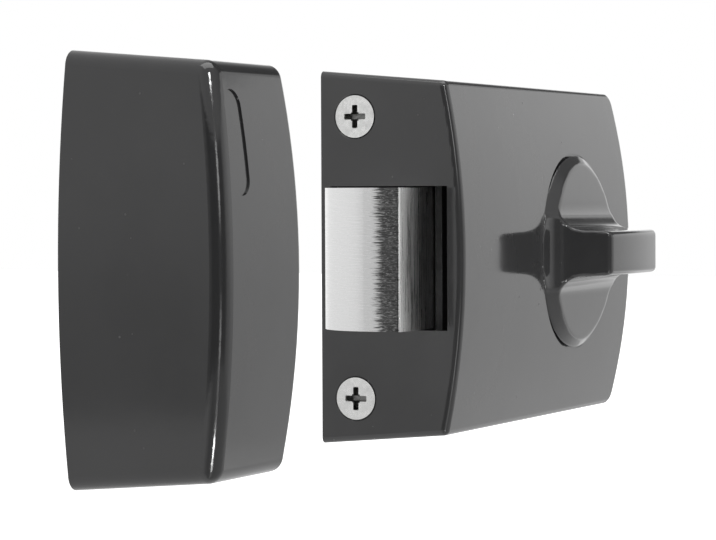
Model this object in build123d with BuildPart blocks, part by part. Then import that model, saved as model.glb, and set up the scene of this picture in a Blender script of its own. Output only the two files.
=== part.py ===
from build123d import *
import os
from math import cos, hypot, radians, sin, sqrt

os.makedirs("parts", exist_ok=True)

# Rim box lock and its keeper, in millimetres.
# The origin is the axis of the turn knob on the face of the door.
# X runs along the door away from its edge, -Y out of the door into the room, Z up.
# A depth is a distance out of the door face, so depth d lies at Y = -d.

# The box of the lock
backset = 60.0
case_length = 88.0
case_height = 71.0
case_depth = 25.8
case_wall = 2.6
forend_wall = 3.0
front_crown = 3.6
end_bow = 3.2
side_taper = 2.3
case_corner = 3.0
forend_edge_radius = 1.3
case_edge_radius = 1.2

# The box of the keeper, shown standing off from the lock
keeper_width = 23.1
keeper_depth = 26.6
keeper_stand_off = 68.75
keeper_corner = 2.8
keeper_edge_radius = 2.8
keeper_small_radius = 1.0
mouth_height = 30.0
mouth_floor = 1.2

# The badge panel sunk in the keeper's face, left bare
badge_length = 16.8
badge_width = 5.4
badge_height_above_middle = 20.4
badge_from_mouth_face = 19.3
badge_recess = 0.3

# The latch bolt
bolt_throw = 12.5
bolt_height = 26.5
bolt_back = 2.2
bolt_under_front = 3.8
bolt_inside = 14.0
bolt_nose_inside = 6.0
bolt_clearance = 0.3
bolt_tip_radius = 0.4
bolt_body_gap = 0.8
opening_past_front = 0.3

# Clearances that the fits share, and how far a cut runs past what it cuts
running_gap = 0.3
shaft_gap = 0.05
seat_gap = 0.1
spare = 1.0

# The sheet steel pieces behind the mechanism
plate_thickness = 1.6
lug_thickness = 2.0
lug_width = 9.0
lug_height = 12.0
cover_gap = 0.4
cover_thickness = 1.2
plate_side_gap = 0.5
cover_side_gap = 1.4
cover_edge = 5.0
cover_right_edge = 3.5
plate_corner = 3.0

# Holes through the mounting plate
cylinder_hole_radius = 8.0
cylinder_screw_spacing = 25.4
cylinder_screw_radius = 2.6
door_screw_spacing_x = 52.0
door_screws_from_edges = 11.5
door_screw_middle_x = -18.0
door_screw_radius = 2.3
door_screw_head_radius = 5.0
keeper_screws_from_edges = 17.5

# Countersunk machine screws in the forend and in the keeper's mouth
face_screws_from_edges = 8.75
face_screw_depth = 7.1
face_screw_head_radius = 4.02
face_screw_shank_radius = 2.0
face_screw_length = 10.0
face_screw_mouth_radius = 4.3
face_screw_clear_radius = 2.2
face_recess = 4.4
recess_arm_ratio = 0.216
recess_depth_ratio = 0.432
recess_taper = 8.0
pan_edge = 0.6

# Small screws inside the case
small_head_radius = 2.8
small_shank_radius = 1.5
small_recess = 3.1
cover_screw_length = 9.0
guide_screw_length = 4.4
guide_head_height = 1.9
post_radius = 3.2
post_from_forend = 26.0
post_from_end = 13.0
post_from_edge = 6.7

# The pressed guide round the bolt
guide_wall = 1.4
guide_reach = 15.5
guide_ear_reach = 6.0
guide_ear_length = 6.0
guide_screw_from_forend = 11.0

# The hub, its bearing and the knob's shaft
knob_swing = 60.0
stem_radius = 5.5
tang_width = 7.0
tang_corner = 0.6
bush_wall = 1.5
bush_flange_radius = 9.4
bush_flange = 1.0
boss_radius = 10.5
boss_height = 4.2
hub_radius = 8.0
hub_web = 1.0
hub_recess_radius = 4.6
hub_recess_depth = 2.5
hub_stem_pocket = 2.7
washer_thickness = 0.5
washer_radius = 8.4
arm_tip_radius = 2.0
arm_neck = 5.0
arm_waist = 2.2
arm_free_play = 0.25
knob_screw_head_radius = 3.8
knob_screw_head = 2.2
knob_screw_radius = 1.95
knob_screw_grip = 8.0
knob_recess = 4.0
knob_screw_hole_radius = knob_screw_radius + shaft_gap

# The turn knob, whose round base lies in a shallow seat in the case
knob_gap = 0.3
knob_seat_depth = 1.35
knob_radius = 19.8
knob_height = 13.75
lobe_height = 1.6
rim_wall = 0.4
rim_width = 2.8
rim_rise = 1.9
grip_tip_thickness = 8.8
grip_root_thickness = 9.8
grip_tip_length = 27.3
grip_root_length = 28.8
flank_flare = 5.0
flank_foot_fall = 0.35
end_flare = 5.0
end_flare_half = 7.5
grip_edge_radius = 1.2

# The plate behind the bolt that the hub's arm draws back
tail_depth = 8.2
tail_thickness = 2.5
tail_half_height = 8.0
tail_web = 4.0
tail_into_nose = 2.0
tail_to_hub = 1.0
tine_height = 4.0
tine_gap = 0.5
lug_drop = 2.3
lug_face_width = 5.5
bolt_pin_radius = 1.5
bolt_pin_spread = 12.0
bolt_pin_inside = 9.0
stop_pin_radius = 2.5
stop_rivet_radius = 1.25
stop_pin_x = -29.0
stop_pin_z = 4.5

# The bolt's return spring on its rod
spring_z = -20.5
spring_depth = 9.5
spring_wire = 0.9
spring_coil_radius = 2.35
spring_turns = 12
rod_radius = 1.5
rod_left_x = -34.0
rod_chamfer = 0.4
rod_seat = 3.0
tab_thickness = 2.5
tab_height = 7.0
tab_span = 9.0
spring_post_from_end = 16.0
spring_post_width = 4.0
spring_post_reach = 3.5
rod_gap = 0.1

# The key's driver and the deadlocking lever it moves
driver_swing = 40.0
driver_radius = 7.5
driver_thickness = 2.1
spigot_radius = 6.0
spigot_reach = 0.2
slot_length = 10.2
slot_width = 2.6
dog_reach = 12.7
dog_tip_radius = 1.8
dog_angle = 76.2
dog_root = 3.5
lever_swing = 16.0
lever_thickness = 2.0
lever_pivot_x = -2.0
lever_pivot_z = 21.0
lever_boss_radius = 4.5
lever_arm = 5.0
lever_tail_x = 12.0
lever_tail_drop = 7.5
lever_tip_radius = 2.0
nose_depth_past_pin = 2.2
nose_play = 0.33
pivot_radius = 1.5
pivot_head_radius = 3.0
pivot_head = 1.0
pivot_washer = 0.35

# Hooks that hold the far end of the case to the mounting plate
hook_from_end = 8.0
hook_thickness = 1.6
hook_lip = 3.9
hook_z = 14.0
hook_width = 8.0
ledge_depth = 3.0
ledge_thickness = 2.0
ledge_gap = 0.6
ledge_set_in = 2.1

# Places worked out from the values above
forend_x = -backset
case_top = case_depth + front_crown
cover_back = plate_thickness + cover_gap
cover_front = cover_back + cover_thickness
half_height = case_height / 2
case_end_x = forend_x + case_length
door_screw_spacing_z = case_height - 2 * door_screws_from_edges
keeper_screw_spacing = case_height - 2 * keeper_screws_from_edges
face_screw_spacing = case_height - 2 * face_screws_from_edges
bolt_half = bolt_height / 2
bolt_front = case_depth - bolt_under_front
opening_front = case_depth + opening_past_front
guide_half = bolt_half + bolt_clearance
guide_front = bolt_front + bolt_clearance
guide_top = guide_front + guide_wall
keeper_face_x = forend_x - keeper_stand_off
mouth_depth = keeper_depth - case_wall
plate_half = half_height - case_wall - plate_side_gap
lug_x = forend_x + forend_wall + lug_thickness / 2 + seat_gap
keeper_lug_x = keeper_face_x - forend_wall - lug_thickness / 2 - seat_gap
crown_inside = case_top - case_wall
boss_end = crown_inside - boss_height
bush_bore = stem_radius + shaft_gap
bush_radius = bush_bore + bush_wall
flange_end = boss_end - bush_flange
washer_back = flange_end - 2 * seat_gap - washer_thickness
hub_front = washer_back - seat_gap
driver_back = cover_front + running_gap
driver_front = driver_back + driver_thickness
hub_back = driver_front + running_gap
web_back = hub_back + hub_recess_depth
web_front = web_back + hub_web
tang_back = web_front + 2 * seat_gap
tang_front = hub_front - hub_stem_pocket + 2 * seat_gap
arm_reach = bolt_throw / (2 * sin(radians(knob_swing / 2)))
arm_x = -arm_reach * sin(radians(knob_swing / 2))
push_face_x = arm_x + arm_tip_radius + arm_free_play
tine_bottom = arm_reach + arm_tip_radius + tine_gap
web_right_x = -hub_radius - bolt_throw - tail_to_hub
spring_post_x = case_end_x - spring_post_from_end
rod_right_x = spring_post_x + rod_seat
rod_hole_radius = rod_radius + shaft_gap
post_front = case_depth - case_wall / 2
ledge_right_x = case_end_x + end_bow - ledge_set_in
plate_left_x = lug_x - lug_thickness / 2
hook_x = case_end_x - hook_from_end
plate_right_x = hook_x + hook_thickness
hook_front = ledge_depth + ledge_thickness + ledge_gap / 2 + hook_thickness
ledge_x = plate_right_x + ledge_gap
ledge_front = ledge_depth + ledge_thickness
ledge_half = hook_width / 2 + spare
lip_back = hook_front - hook_thickness
lip_right_x = plate_right_x + hook_lip
post_left_x = forend_x + post_from_forend
post_right_x = case_end_x - post_from_end
post_z = half_height - post_from_edge
cover_half = half_height - case_wall - cover_side_gap
cover_screw_end = cover_back + cover_screw_length
cover_left_x = post_left_x - cover_edge
cover_right_x = post_right_x + cover_right_edge
door_screw_right_x = door_screw_middle_x + door_screw_spacing_x / 2
post_places = [(x, side * post_z) for x in (post_left_x, post_right_x) for side in (-1, 1)]
guide_screw_z = guide_half + guide_wall + guide_ear_reach / 2
guide_left_x = forend_x + forend_wall + 2 * seat_gap
guide_back = bolt_back + running_gap
guide_right_x = forend_x + guide_reach
guide_screw_x = forend_x + guide_screw_from_forend
bolt_tip_x = forend_x - bolt_throw
bolt_inside_x = forend_x + bolt_inside
bolt_step_x = forend_x + bolt_nose_inside
bolt_body_back = cover_front + bolt_body_gap
bolt_curve_depth = bolt_back + bolt_throw
tail_left_x = bolt_step_x - tail_into_nose
tail_front = tail_depth + tail_thickness
bolt_pin_x = forend_x + bolt_pin_inside
pin_heights = (-bolt_pin_spread / 2, bolt_pin_spread / 2)
seat_front = case_top - knob_seat_depth
knob_back = seat_front + knob_gap
rim_back = knob_back + rim_wall
rim_front = rim_back + rim_rise
lobe_radius = knob_radius - rim_width
grip_top = knob_back + knob_height
flank_foot = case_top + lobe_height - flank_foot_fall
flare_top = flank_foot + flank_flare
grip_taper = (grip_root_thickness - grip_tip_thickness) / 2
flank_lean = grip_taper * (grip_top - flare_top) / (grip_top - flank_foot)
root_z = grip_tip_thickness / 2 + flank_lean
flare_z = root_z + flank_flare
root_x = grip_root_length / 2
flare_x = root_x + end_flare
flare_y = -case_top - end_flare
lever_back = driver_back + shaft_gap
pivot_head_back = lever_back + lever_thickness + pivot_washer + seat_gap
washer_seat = pivot_head_back - pivot_washer
pivot_head_end = pivot_head_back + pivot_head
stop_pin_reach = (stop_pin_x - lever_pivot_x, stop_pin_z - lever_pivot_z)
thrown_reach = hypot(stop_pin_reach[0], stop_pin_reach[1])
drawn_reach = hypot(stop_pin_reach[0] + bolt_throw, stop_pin_reach[1])
nose_outer_radius = thrown_reach - stop_pin_radius - nose_play
nose_inner_radius = drawn_reach + stop_pin_radius + nose_play
nose_bottom = stop_pin_reach[1] - nose_depth_past_pin
keeper_plate_left_x = keeper_face_x - keeper_width + case_wall + plate_side_gap
keeper_plate_right_x = keeper_lug_x + lug_thickness / 2
keeper_screw_x = (keeper_plate_left_x + keeper_plate_right_x) / 2
turned = radians(lever_swing)
half_swing = radians(knob_swing / 2)
dog_turn = radians(dog_angle)

# Planes that the turned pieces are drawn on
arm_plane = Plane(
    origin=(0, -tail_depth, 0),
    x_dir=(-sin(half_swing), 0, cos(half_swing)),
    z_dir=(0, -1, 0),
)
dog_plane = Plane(
    origin=(0, -driver_back, 0),
    x_dir=(sin(dog_turn), 0, cos(dog_turn)),
    z_dir=(0, -1, 0),
)
lever_plane = Plane(
    origin=(lever_pivot_x, -lever_back, lever_pivot_z),
    x_dir=(cos(turned), 0, -sin(turned)),
    z_dir=(0, -1, 0),
)


def end_plane(x, depth=0.0, z=0.0, facing=-1):
    """Plane square to X whose own x axis runs out of the door and whose y axis runs up."""
    return Plane(origin=(x, -depth, z), x_dir=(0, facing, 0), z_dir=(facing, 0, 0))


def back_plane(depth, x=0.0, z=0.0):
    """Plane that faces the door at a depth."""
    return Plane(origin=(x, -depth, z), x_dir=(1, 0, 0), z_dir=(0, 1, 0))


def block(x_min, x_max, back, front, z_min, z_max, mode=Mode.ADD):
    """Block between two places along X, two depths and two heights."""
    with Locations(((x_min + x_max) / 2, -(back + front) / 2, (z_min + z_max) / 2)):
        Box(x_max - x_min, front - back, z_max - z_min, mode=mode)


def round_out(radius, back, front, x=0.0, z=0.0, mode=Mode.ADD):
    """Round bar square to the door, between two depths."""
    with Locations(Location((x, -back, z), (90, 0, 0))):
        Cylinder(radius, front - back, align=(Align.CENTER, Align.CENTER, Align.MIN), mode=mode)


def round_along(radius, x_min, x_max, depth, z, mode=Mode.ADD):
    """Round bar along the door, between two places."""
    with Locations(Location((x_min, -depth, z), (0, 90, 0))):
        Cylinder(radius, x_max - x_min, align=(Align.CENTER, Align.CENTER, Align.MIN), mode=mode)


def cone_out(back_radius, front_radius, back, front, x, z, mode=Mode.ADD):
    """Cone square to the door, between two depths."""
    with Locations(Location((x, -back, z), (90, 0, 0))):
        Cone(
            back_radius,
            front_radius,
            front - back,
            align=(Align.CENTER, Align.CENTER, Align.MIN),
            mode=mode,
        )


def barrel_form(flat_x, way, length, half, depth, back=0.0):
    """Closed form with a flat end, a bowed far end, sides that taper and a crowned front."""
    far_x = flat_x + way * length
    front_half = half - side_taper
    back_half = half - side_taper * back / depth
    with BuildPart() as form:
        with BuildSketch(end_plane(max(flat_x, far_x) + end_bow + spare)):
            with BuildLine():
                Polyline((depth, -front_half), (back, -back_half), (back, back_half), (depth, front_half))
                ThreePointArc((depth, front_half), (depth + front_crown, 0), (depth, -front_half))
            make_face()
        extrude(amount=length + 2 * (end_bow + spare))
        with BuildSketch(Plane.XZ.offset(back)):
            wide = half + spare
            with BuildLine():
                Polyline((far_x, -wide), (flat_x, -wide), (flat_x, wide), (far_x, wide))
                ThreePointArc((far_x, wide), (far_x + way * end_bow, 0), (far_x, -wide))
            make_face()
        extrude(amount=depth + front_crown + spare - back, mode=Mode.INTERSECT)
    return form.part


def casting_form(flat_x, way, length, depth, left_radius, corner_radius, edge_radius):
    """Outside of a casting, with its left front edge, bowed end's corners and other front edges rounded."""
    far_x = flat_x + way * length
    with BuildPart() as form:
        add(barrel_form(flat_x, way, length, half_height, depth))
        fillet(form.faces().sort_by(Axis.Y)[0].edges().sort_by(Axis.X)[0], left_radius)
        out_of_door = form.edges().filter_by(lambda e: abs(e.tangent_at(0.5).Y) > 0.9)
        at_far_end = out_of_door.filter_by(lambda e: abs(e.center().X - far_x) < end_bow)
        fillet(at_far_end.filter_by(lambda e: abs(e.center().Z) > half_height - side_taper), corner_radius)
        fillet(form.faces().sort_by(Axis.Y)[0].edges().sort_by(Axis.X)[1:], edge_radius)
    return form.part


def face_screw_hole(face_x, way, depth, z):
    """Countersunk hole through the end wall of a casting, from its outside inwards."""
    countersink = face_screw_mouth_radius - face_screw_clear_radius
    with Locations(Location((face_x - way * spare, -depth, z), (0, way * 90, 0))):
        Cone(
            face_screw_mouth_radius + spare,
            face_screw_clear_radius,
            countersink + spare,
            align=(Align.CENTER, Align.CENTER, Align.MIN),
            mode=Mode.SUBTRACT,
        )
        Cylinder(
            face_screw_clear_radius,
            forend_wall + 2 * spare,
            align=(Align.CENTER, Align.CENTER, Align.MIN),
            mode=Mode.SUBTRACT,
        )


def cross_screw(plane, head_radius, head_height, shank_radius, length, recess, flush):
    """Machine screw with a cross recess and its shank behind the plane. A flush head is countersunk."""
    head_foot = -head_height if flush else 0.0
    recess_face = 0.0 if flush else head_height
    with BuildPart(plane) as screw:
        if flush:
            with Locations((0, 0, -head_height)):
                Cone(shank_radius, head_radius, head_height, align=(Align.CENTER, Align.CENTER, Align.MIN))
        else:
            Cylinder(head_radius, head_height, align=(Align.CENTER, Align.CENTER, Align.MIN))
            rim = screw.edges().filter_by(lambda e: plane.to_local_coords(e.center()).Z > head_height / 2)
            fillet(rim.filter_by(GeomType.CIRCLE), pan_edge)
        with Locations((0, 0, head_foot)):
            Cylinder(shank_radius, length + head_foot, align=(Align.CENTER, Align.CENTER, Align.MAX))
        with BuildSketch(plane.offset(recess_face)):
            Rectangle(recess, recess * recess_arm_ratio)
            Rectangle(recess * recess_arm_ratio, recess)
        extrude(amount=-recess * recess_depth_ratio, taper=recess_taper, mode=Mode.SUBTRACT)
    return screw.part


# Shell of the lock, one die casting open towards the door
with BuildPart() as case_shell:
    add(
        casting_form(
            forend_x,
            1,
            case_length,
            case_depth,
            forend_edge_radius,
            case_corner,
            case_edge_radius,
        )
    )
    add(
        barrel_form(
            forend_x + forend_wall,
            1,
            case_length - forend_wall - case_wall,
            half_height - case_wall,
            case_depth - case_wall,
            -spare,
        ),
        mode=Mode.SUBTRACT,
    )
    for x, z in post_places:
        round_out(post_radius, cover_front, post_front, x, z)
    for side in (-1, 1):
        round_out(post_radius, guide_top, crown_inside, guide_screw_x, side * guide_screw_z)
    round_out(boss_radius, boss_end, crown_inside)
    block(
        spring_post_x,
        spring_post_x + spring_post_width,
        spring_depth - spring_post_reach,
        crown_inside,
        spring_z - spring_post_reach,
        spring_z + spring_post_reach,
    )
    for side in (-1, 1):
        ledge_low = side * hook_z - ledge_half
        block(ledge_x, ledge_right_x, ledge_depth, ledge_front, ledge_low, ledge_low + 2 * ledge_half)
        face_screw_hole(forend_x, 1, face_screw_depth, side * face_screw_spacing / 2)
        round_out(
            small_shank_radius,
            guide_front,
            guide_top + guide_screw_length,
            guide_screw_x,
            side * guide_screw_z,
            mode=Mode.SUBTRACT,
        )
    block(
        forend_x - spare,
        forend_x + forend_wall + spare,
        bolt_back - bolt_clearance,
        opening_front,
        -guide_half,
        guide_half,
        mode=Mode.SUBTRACT,
    )
    for x, z in post_places:
        round_out(small_shank_radius, cover_front, cover_screw_end + spare, x, z, mode=Mode.SUBTRACT)
    round_out(bush_radius, boss_end - spare, case_top + spare, mode=Mode.SUBTRACT)
    round_out(knob_radius + knob_gap, seat_front, case_top + spare, mode=Mode.SUBTRACT)
    round_along(
        rod_hole_radius,
        spring_post_x - spare,
        rod_right_x,
        spring_depth,
        spring_z,
        mode=Mode.SUBTRACT,
    )
case_shell.part.label = "case_shell"

# Steel plate screwed to the face of the door, with two lugs at the forend and two hooks at the far end
with BuildPart() as mounting_plate:
    with BuildSketch(back_plane(0)):
        with Locations(((plate_left_x + plate_right_x) / 2, 0)):
            RectangleRounded(plate_right_x - plate_left_x, 2 * plate_half, plate_corner)
        with Locations((plate_left_x + plate_corner / 2, 0)):
            Rectangle(plate_corner, 2 * plate_half)
    extrude(amount=-plate_thickness)
    for side in (-1, 1):
        lug_z = side * face_screw_spacing / 2
        lug_low = lug_z - lug_width / 2
        block(plate_left_x, lug_x + lug_thickness / 2, 0, lug_height, lug_low, lug_low + lug_width)
        hook_low = side * hook_z - hook_width / 2
        hook_high = hook_low + hook_width
        block(hook_x, plate_right_x, 0, hook_front, hook_low, hook_high)
        block(hook_x, lip_right_x, lip_back, hook_front, hook_low, hook_high)
        round_along(
            face_screw_shank_radius,
            lug_x - lug_thickness,
            lug_x + lug_thickness,
            face_screw_depth,
            lug_z,
            mode=Mode.SUBTRACT,
        )
    with BuildSketch(back_plane(0)):
        Circle(cylinder_hole_radius)
        with GridLocations(0, cylinder_screw_spacing, 1, 2):
            Circle(cylinder_screw_radius)
        with Locations((door_screw_middle_x, 0)):
            with GridLocations(door_screw_spacing_x, door_screw_spacing_z, 2, 2):
                Circle(door_screw_radius)
    extrude(amount=-plate_thickness, mode=Mode.SUBTRACT)
mounting_plate.part.label = "mounting_plate"

# Two countersunk screws through the forend into the lugs
with BuildPart() as forend_screws:
    for z in (face_screw_spacing / 2, -face_screw_spacing / 2):
        add(
            cross_screw(
                end_plane(forend_x, face_screw_depth, z),
                face_screw_head_radius,
                face_screw_head_radius - face_screw_shank_radius,
                face_screw_shank_radius,
                face_screw_length,
                face_recess,
                True,
            )
        )
forend_screws.part.label = "forend_screws"

# Sheet steel cover that closes the mechanism in from behind
with BuildPart() as back_cover:
    with BuildSketch(Plane.XZ.offset(cover_back)):
        with Locations(((cover_left_x + cover_right_x) / 2, 0)):
            RectangleRounded(cover_right_x - cover_left_x, 2 * cover_half, plate_corner)
        Circle(spigot_radius + shaft_gap, mode=Mode.SUBTRACT)
        with Locations((door_screw_right_x, 0)):
            with GridLocations(0, door_screw_spacing_z, 1, 2):
                Circle(door_screw_head_radius, mode=Mode.SUBTRACT)
        with Locations((lever_pivot_x, lever_pivot_z)):
            Circle(pivot_radius, mode=Mode.SUBTRACT)
    extrude(amount=cover_thickness)
    for x, z in post_places:
        cone_out(
            small_head_radius + shaft_gap,
            small_shank_radius + shaft_gap,
            cover_back,
            cover_front,
            x,
            z,
            mode=Mode.SUBTRACT,
        )
back_cover.part.label = "back_cover"

# Four countersunk screws that hold the back cover to the posts of the casting
with BuildPart() as cover_screws:
    for x, z in post_places:
        add(
            cross_screw(
                back_plane(cover_back, x, z),
                small_head_radius,
                cover_thickness,
                small_shank_radius,
                cover_screw_length,
                small_recess,
                True,
            )
        )
cover_screws.part.label = "cover_screws"

# Latch bolt, with a face curved on the side that meets the keeper and a slot for its tail plate
with BuildPart() as latch_bolt:
    with BuildSketch(Plane.XY.offset(-bolt_half)):
        with BuildLine():
            Polyline(
                (forend_x, -bolt_back),
                (bolt_step_x, -bolt_back),
                (bolt_step_x, -bolt_body_back),
                (bolt_inside_x, -bolt_body_back),
                (bolt_inside_x, -bolt_front),
                (bolt_tip_x, -bolt_front),
                (bolt_tip_x, -bolt_curve_depth),
            )
            ThreePointArc(
                (bolt_tip_x, -bolt_curve_depth),
                (
                    forend_x - bolt_throw / sqrt(2),
                    -bolt_curve_depth + bolt_throw / sqrt(2),
                ),
                (forend_x, -bolt_back),
            )
        make_face()
    extrude(amount=bolt_height)
    fillet(latch_bolt.edges().filter_by(Axis.Z).group_by(Axis.X)[0], bolt_tip_radius)
    block(
        tail_left_x - running_gap / 2,
        bolt_inside_x + spare,
        tail_depth - shaft_gap,
        tail_front + shaft_gap,
        -tail_half_height - shaft_gap,
        tail_half_height + shaft_gap,
        mode=Mode.SUBTRACT,
    )
    for z in pin_heights:
        round_out(bolt_pin_radius, bolt_body_back, bolt_front, bolt_pin_x, z, mode=Mode.SUBTRACT)
latch_bolt.part.label = "latch_bolt"

# Steel plate that joins the bolt to the hub's arm, its return spring and the deadlock's stop pin
with BuildPart() as bolt_tail:
    block(tail_left_x, web_right_x, tail_depth, tail_front, -tail_half_height, tail_half_height)
    block(
        web_right_x - tail_web,
        web_right_x,
        tail_depth,
        tail_front,
        spring_z - tab_height / 2,
        tine_bottom + tine_height,
    )
    block(
        web_right_x - tail_web,
        push_face_x + lug_face_width,
        tail_depth,
        tail_front,
        tine_bottom,
        tine_bottom + tine_height,
    )
    block(
        push_face_x,
        push_face_x + lug_face_width,
        tail_depth,
        tail_front,
        arm_reach - lug_drop,
        tine_bottom,
    )
    block(
        web_right_x - tab_thickness,
        web_right_x,
        spring_depth - tab_span / 2,
        spring_depth + tab_span / 2,
        spring_z - tab_height / 2,
        spring_z + tab_height / 2,
    )
    round_along(
        rod_radius + rod_gap,
        web_right_x - tail_web - spare,
        web_right_x + spare,
        spring_depth,
        spring_z,
        mode=Mode.SUBTRACT,
    )
    for z in pin_heights:
        round_out(bolt_pin_radius, bolt_body_back, bolt_front, bolt_pin_x, z, mode=Mode.SUBTRACT)
    round_out(stop_rivet_radius, tail_depth, tail_front, stop_pin_x, stop_pin_z, mode=Mode.SUBTRACT)
bolt_tail.part.label = "bolt_tail"

# Two rivet pins through the bolt and its tail
with BuildPart() as bolt_pins:
    for z in pin_heights:
        round_out(bolt_pin_radius, bolt_body_back, bolt_front, bolt_pin_x, z)
bolt_pins.part.label = "bolt_pins"

# Stop pin on the tail that the deadlock lever catches, with its rivet shank in the tail
with BuildPart() as tail_stop_pin:
    round_out(stop_pin_radius, lever_back, tail_depth, stop_pin_x, stop_pin_z)
    round_out(stop_rivet_radius, tail_depth - spare, tail_front, stop_pin_x, stop_pin_z)
tail_stop_pin.part.label = "tail_stop_pin"

# Compression spring that throws the bolt, wound round its rod between the tail's tab and the casting
spring_left_x = web_right_x + spring_wire / 2
spring_length = spring_post_x - spring_wire / 2 - spring_left_x
with BuildPart() as bolt_spring:
    with BuildLine() as coil:
        Helix(
            pitch=spring_length / spring_turns,
            height=spring_length,
            radius=spring_coil_radius,
            center=(spring_left_x, -spring_depth, spring_z),
            direction=(1, 0, 0),
        )
    with BuildSketch(Plane(origin=coil.wire() @ 0, z_dir=coil.wire() % 0)):
        Circle(spring_wire / 2)
    sweep(path=coil.wire(), is_frenet=True)
bolt_spring.part.label = "bolt_spring"
print("gap between the spring's turns", round(spring_length / spring_turns - spring_wire, 2))

# Rod that keeps the spring straight, pressed into the casting
with BuildPart() as spring_rod:
    round_along(rod_radius, rod_left_x, rod_right_x, spring_depth, spring_z)
    chamfer(spring_rod.faces().sort_by(Axis.X)[0].edges(), rod_chamfer)
spring_rod.part.label = "spring_rod"

# Pressed steel channel that guides the bolt, screwed to the inside of the casting
with BuildPart() as bolt_guide:
    for side in (-1, 1):
        leg_inner = side * guide_half
        leg_outer = side * (guide_half + guide_wall)
        block(
            guide_left_x,
            guide_right_x,
            guide_back,
            guide_top,
            min(leg_inner, leg_outer),
            max(leg_inner, leg_outer),
        )
        ear_outer = side * (guide_half + guide_wall + guide_ear_reach)
        block(
            guide_screw_x - guide_ear_length / 2,
            guide_screw_x + guide_ear_length / 2,
            guide_front,
            guide_top,
            min(leg_outer, ear_outer),
            max(leg_outer, ear_outer),
        )
        round_out(
            small_shank_radius + shaft_gap,
            guide_front,
            guide_top,
            guide_screw_x,
            side * guide_screw_z,
            mode=Mode.SUBTRACT,
        )
    block(guide_left_x, guide_right_x, guide_front, guide_top, -guide_half, guide_half)
bolt_guide.part.label = "bolt_guide"

# Two pan head screws through the guide's ears into the casting
with BuildPart() as guide_screws:
    for side in (-1, 1):
        add(
            cross_screw(
                back_plane(guide_front, guide_screw_x, side * guide_screw_z),
                small_head_radius,
                guide_head_height,
                small_shank_radius,
                guide_wall + guide_screw_length,
                small_recess,
                False,
            )
        )
guide_screws.part.label = "guide_screws"

# Room beside the grip bar above the sloping rim of the knob
with BuildPart() as rim_room:
    round_out(knob_radius + spare, knob_back, flare_top)
    round_out(knob_radius, knob_back, rim_back, mode=Mode.SUBTRACT)
    cone_out(knob_radius, lobe_radius, rim_back, rim_front, 0, 0, mode=Mode.SUBTRACT)
    round_out(lobe_radius, rim_front, flare_top, mode=Mode.SUBTRACT)
    block(
        -knob_radius - spare,
        knob_radius + spare,
        knob_back,
        flare_top,
        -end_flare_half,
        end_flare_half,
        mode=Mode.SUBTRACT,
    )

# Grip bar of the turn knob, shaped by what it shows from its end and from its side
with BuildPart() as grip:
    with BuildSketch(end_plane(knob_radius)):
        with BuildLine():
            Line((flare_top, root_z), (grip_top, grip_tip_thickness / 2))
            Line((grip_top, grip_tip_thickness / 2), (grip_top, -grip_tip_thickness / 2))
            Line((grip_top, -grip_tip_thickness / 2), (flare_top, -root_z))
            CenterArc((flare_top, -flare_z), flank_flare, 90, 90)
            Polyline(
                (flank_foot, -flare_z),
                (knob_back, -flare_z),
                (knob_back, flare_z),
                (flank_foot, flare_z),
            )
            CenterArc((flare_top, flare_z), flank_flare, 180, 90)
        make_face()
    extrude(amount=2 * knob_radius)
    with BuildSketch(Plane.XY):
        with BuildLine():
            Polyline(
                (-flare_x, -case_top),
                (-knob_radius, -case_top),
                (-knob_radius, -knob_back),
                (knob_radius, -knob_back),
                (knob_radius, -case_top),
                (flare_x, -case_top),
            )
            CenterArc((flare_x, flare_y), end_flare, 90, 90)
            Line((root_x, flare_y), (grip_tip_length / 2, -grip_top))
            Line((grip_tip_length / 2, -grip_top), (-grip_tip_length / 2, -grip_top))
            Line((-grip_tip_length / 2, -grip_top), (-root_x, flare_y))
            CenterArc((-flare_x, flare_y), end_flare, 0, 90)
        make_face()
    extrude(amount=knob_radius, both=True, mode=Mode.INTERSECT)
    with BuildSketch(Plane.XZ.offset(knob_back)):
        Circle(knob_radius)
    extrude(amount=knob_height, mode=Mode.INTERSECT)
    fillet(grip.faces().sort_by(Axis.Y)[0].edges(), grip_edge_radius)
    add(rim_room.part, mode=Mode.SUBTRACT)

# Turn knob with its stem and the square tang that drives the hub, one die casting
with BuildPart() as knob:
    round_out(knob_radius, knob_back, rim_back)
    cone_out(knob_radius, lobe_radius, rim_back, rim_front, 0, 0)
    add(
        barrel_form(forend_x, 1, case_length, half_height, case_depth + lobe_height),
        mode=Mode.INTERSECT,
    )
    with BuildSketch(Plane.XY):
        with BuildLine():
            Polyline(
                (flare_x, -case_top),
                (knob_radius + spare, -case_top),
                (knob_radius + spare, flare_y),
                (root_x, flare_y),
            )
            CenterArc((flare_x, flare_y), end_flare, 90, 90)
        make_face()
        mirror(about=Plane.YZ)
    extrude(amount=end_flare_half, both=True, mode=Mode.SUBTRACT)
    add(grip.part)
    round_out(stem_radius, tang_front, knob_back + spare)
    with BuildSketch(Plane.XZ.offset(tang_back)):
        RectangleRounded(tang_width, tang_width, tang_corner)
    extrude(amount=tang_front - tang_back + spare)
    round_out(knob_screw_hole_radius, tang_back, tang_back + knob_screw_grip + spare, mode=Mode.SUBTRACT)
knob.part.label = "knob"

# Nylon bush that the knob's stem turns in
with BuildPart() as knob_bush:
    round_out(bush_radius, boss_end, seat_front - running_gap)
    round_out(bush_flange_radius, flange_end, boss_end)
    round_out(bush_bore, flange_end, case_top, mode=Mode.SUBTRACT)
knob_bush.part.label = "knob_bush"

# Steel washer between the hub and the bush
with BuildPart() as hub_washer:
    round_out(washer_radius, washer_back, washer_back + washer_thickness)
    round_out(bush_bore, washer_back, washer_back + washer_thickness, mode=Mode.SUBTRACT)
hub_washer.part.label = "hub_washer"

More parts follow.
